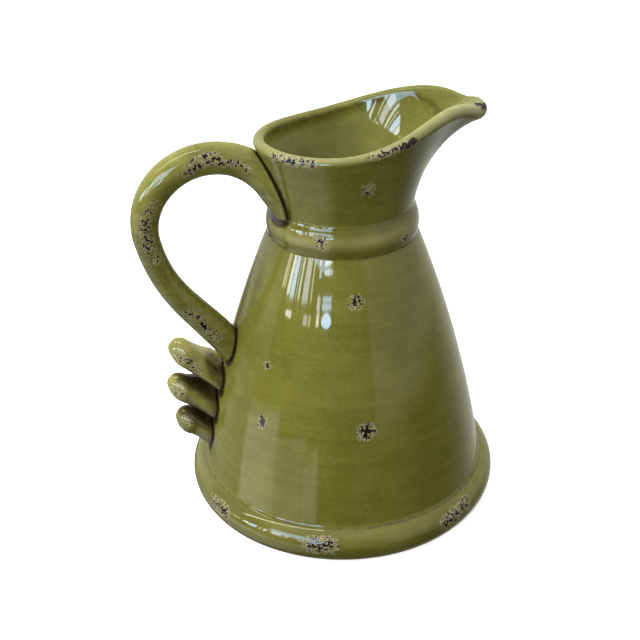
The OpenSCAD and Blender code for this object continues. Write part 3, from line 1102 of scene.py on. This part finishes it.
sky = (0.5, 0.72, 1.0)
white_light = (0.95, 1.0, 0.98)
cream_light = (1.0, 0.94, 0.72)
lilac = (0.84, 0.88, 1.0)
pane("arch", 0.214, 0.427, 0.134, 0.198, 16, sky, "ELLIPSE")
pane("arch_side", 0.48, 0.552, 0.136, 0.198, 12, white_light)
for k, (low, high) in enumerate(((0.203, 0.2165), (0.2195, 0.2305))):
    pane(f"cross_{k}", 0.222, 0.43, low, high, 14, sky)
    pane(f"cross_side_{k}", 0.487, 0.568, low, high, 11, lilac)
pane("square", 0.216, 0.437, 0.304, 0.327, 10, lilac)
pane("square_side", 0.508, 0.585, 0.294, 0.337, 10, sky)
pane("strip", 0.23, 0.452, 0.339, 0.352, 14, white_light)
pane("strip_side", 0.545, 0.612, 0.35, 0.361, 14, white_light)
for name, left, right, low, high, radiance, colour in (
    ("slat_e", 0.745, 0.805, 0.218, 0.5, 7, cream_light),
    ("slat_d", 0.89, 1.15, 0.218, 0.55, 9, lilac),
    ("slat_c", 1.3, 1.42, 0.224, 0.6, 11, white_light),
    ("slat_c_thin", 1.53, 1.6, 0.227, 0.6, 8, white_light),
    ("slat_b", 1.74, 2.2, 0.229, 0.65, 17, sky),
    ("slat_b_edge", 2.28, 2.85, 0.238, 0.65, 14, white_light),
    ("slat_a", 3.4, 3.9, 0.27, 0.7, 7, cream_light),
    ("slat_a_far", 4.1, 5.2, 0.285, 0.75, 8, cream_light),
):
    pane(name, left, right, low, high, radiance, colour)
low_row = (0.127, 0.186)
for name, left, right, radiance, colour in (
    ("low_e", 0.705, 0.78, 6, cream_light),
    ("low_d", 0.82, 0.96, 7, lilac),
    ("low_b", 1.66, 2.3, 12, white_light),
):
    pane(name, left, right, *low_row, radiance, colour)
lamp("ceiling_strip", (-1.15, 0.1, 2.1), (0, 0, 0), (0.14, 2.0), 14, cream_light).visible_diffuse = False
lamp("high_window", (-1.34, -1.25, 1.0), (0, 0, 0.19), (1.2, 0.66), 8, sky).visible_diffuse = False

# Soft boxes that shape the pitcher without being mirrored, by direction in degrees, size and brightness
box_off = 2.4
box_aim = np.array([0, 0, 0.12])
for name, toward, height, size, radiance in (
    ("left_box", 176, 43, (1.1, 1.9), 8.1),
    ("front_box", -128, 32, (1.1, 1.1), 6.0),
    ("back_box", 60, 45, (1.4, 1.4), 8.0),
    ("top_box", -140, 86, (1.4, 1.4), 2.2),
    ("right_box", -20, 40, (1.4, 1.4), 1.3),
):
    level = cosd(height)
    place = box_aim + box_off * np.array([cosd(toward) * level, sind(toward) * level, sind(height)])
    lamp(name, place, box_aim, size, radiance, (1, 1, 1)).visible_glossy = False

# The surroundings: white to the camera, a dim dome as light, and for the glaze to mirror a room with walls,
# a ceiling and a ground with lit patches, all set by the direction looked in
world = bpy.data.worlds.new("room")
bpy.context.scene.world = world
world.use_nodes = True
tree = world.node_tree
fade = partial(ramp, tree)
product = partial(calc, tree, "MULTIPLY")
greater = partial(calc, tree, "MAXIMUM")
total = partial(calc, tree, "ADD")
direction = add(tree, "ShaderNodeTexCoord").outputs["Generated"]
ahead = add(tree, "ShaderNodeSeparateXYZ", {0: direction}).outputs
to_x = ahead["X"]
to_y = ahead["Y"]
to_z = ahead["Z"]

# Walls to the right and behind the pitcher, and the ceiling
azimuth = calc(tree, "ARCTAN2", to_y, to_x)
right_wall = fade(azimuth, np.radians(-76), np.radians(-71), 0.15, 0.65)
behind = greater(fade(to_x, -0.25, 0.1, 1.0, 0.25), fade(to_z, 0.02, 0.1, 0.0, 0.7))
behind = product(fade(to_y, 0.0, 0.7), behind)
ceiling = fade(to_z, 0.5, 0.85, 0.0, 0.9)
walls = greater(greater(right_wall, behind), ceiling)
walls = product(walls, fade(to_z, -0.2, -0.06))

# Ground behind the pitcher, darker towards the handle's side
back = fade(to_y, -0.3, 0.7, 0.04, 0.65)
leftward = product(fade(to_x, -0.05, -0.3), fade(to_z, -0.22, -0.36))
leftward = greater(leftward, fade(to_x, -0.5, -0.8))
back = product(back, fade(leftward, 0.0, 1.0, 1.0, 0.1))

# Lit patches of the ground on the handle's side, whose tops slant
patch_slant = 0.16
patch_blur = 0.02
from_left = calc(tree, "ARCTAN2", to_y, product(to_x, -1))
slanted_z = total(to_z, product(from_left, patch_slant))


def patch(low, high, edge, top, radiance):
    """A lit patch of the ground between two directions, in degrees from the handle's side."""
    rise = fade(from_left, np.radians(low - edge), np.radians(low + edge))
    fall = fade(from_left, np.radians(high - edge), np.radians(high + edge), radiance, 0.0)
    return product(product(rise, fall), fade(slanted_z, top, top - patch_blur))


patches = patch(-21, 12, 3, -0.185, 1.65)
for lit in (
    patch(-57, -46, 1.5, -0.325, 1.2),
    patch(-46, -21, 3, -0.265, 0.95),
    patch(12, 65, 4, -0.12, 0.45),
):
    patches = total(patches, lit)
patches = product(patches, fade(to_z, -0.56, -0.44))
low_left = product(fade(to_x, -0.25, -0.6, 0.0, 0.8), fade(to_z, -0.42, -0.56))
ground = greater(back, greater(patches, low_left))
ground = product(ground, fade(to_z, -0.08, -0.16))

# What each kind of ray meets
soft = fade(to_z, -0.02, 0.02, 0.22, 0.12)
room_tint = (0.98, 1.0, 0.95, 1)
white = (1, 1, 1, 1)
path = add(tree, "ShaderNodeLightPath")
room = add(tree, "ShaderNodeBackground", {"Color": room_tint, "Strength": total(walls, ground)})
dome = add(tree, "ShaderNodeBackground", {"Color": white, "Strength": soft})
plain = add(tree, "ShaderNodeBackground", {"Color": white, "Strength": 1.1})
choice = room.outputs[0]
for ray, seen in (("Is Diffuse Ray", dome), ("Is Camera Ray", plain)):
    inputs = {0: path.outputs[ray], 1: choice, 2: seen.outputs[0]}
    choice = add(tree, "ShaderNodeMixShader", inputs).outputs[0]
tree.links.new(choice, tree.nodes["World Output"].inputs["Surface"])

# Round pale floor, just clear of the foot, and open under it so that the underside can be seen
floor_mesh = bpy.data.meshes.new("floor")
floor_r = 1.2
floor_hole_r = 0.085
floor_z = -0.0003
turns = np.arange(0, 360, 3)
corners = [(r * cosd(a), r * sind(a), floor_z) for r in (floor_hole_r, floor_r) for a in turns]
count = len(turns)
faces = [(k, count + k, count + (k + 1) % count, (k + 1) % count) for k in range(count)]
floor_mesh.from_pydata(corners, [], faces)
floor = bpy.data.objects.new("floor", floor_mesh)
floor_material = bpy.data.materials.new("floor")
floor_material.use_nodes = True
floor_shader = floor_material.node_tree.nodes["Principled BSDF"]
for socket, value in (
    ("Base Color", (0.9, 0.9, 0.89, 1)),
    ("Roughness", 0.9),
    ("Specular IOR Level", 0),
    ("Emission Color", (1, 1, 0.99, 1)),
    ("Emission Strength", 0.6),
):
    floor_shader.inputs[socket].default_value = value
floor_mesh.materials.append(floor_material)
floor.visible_glossy = False
floor.visible_diffuse = False
bpy.context.scene.collection.objects.link(floor)
bpy.context.scene.view_settings.view_transform = "Standard"
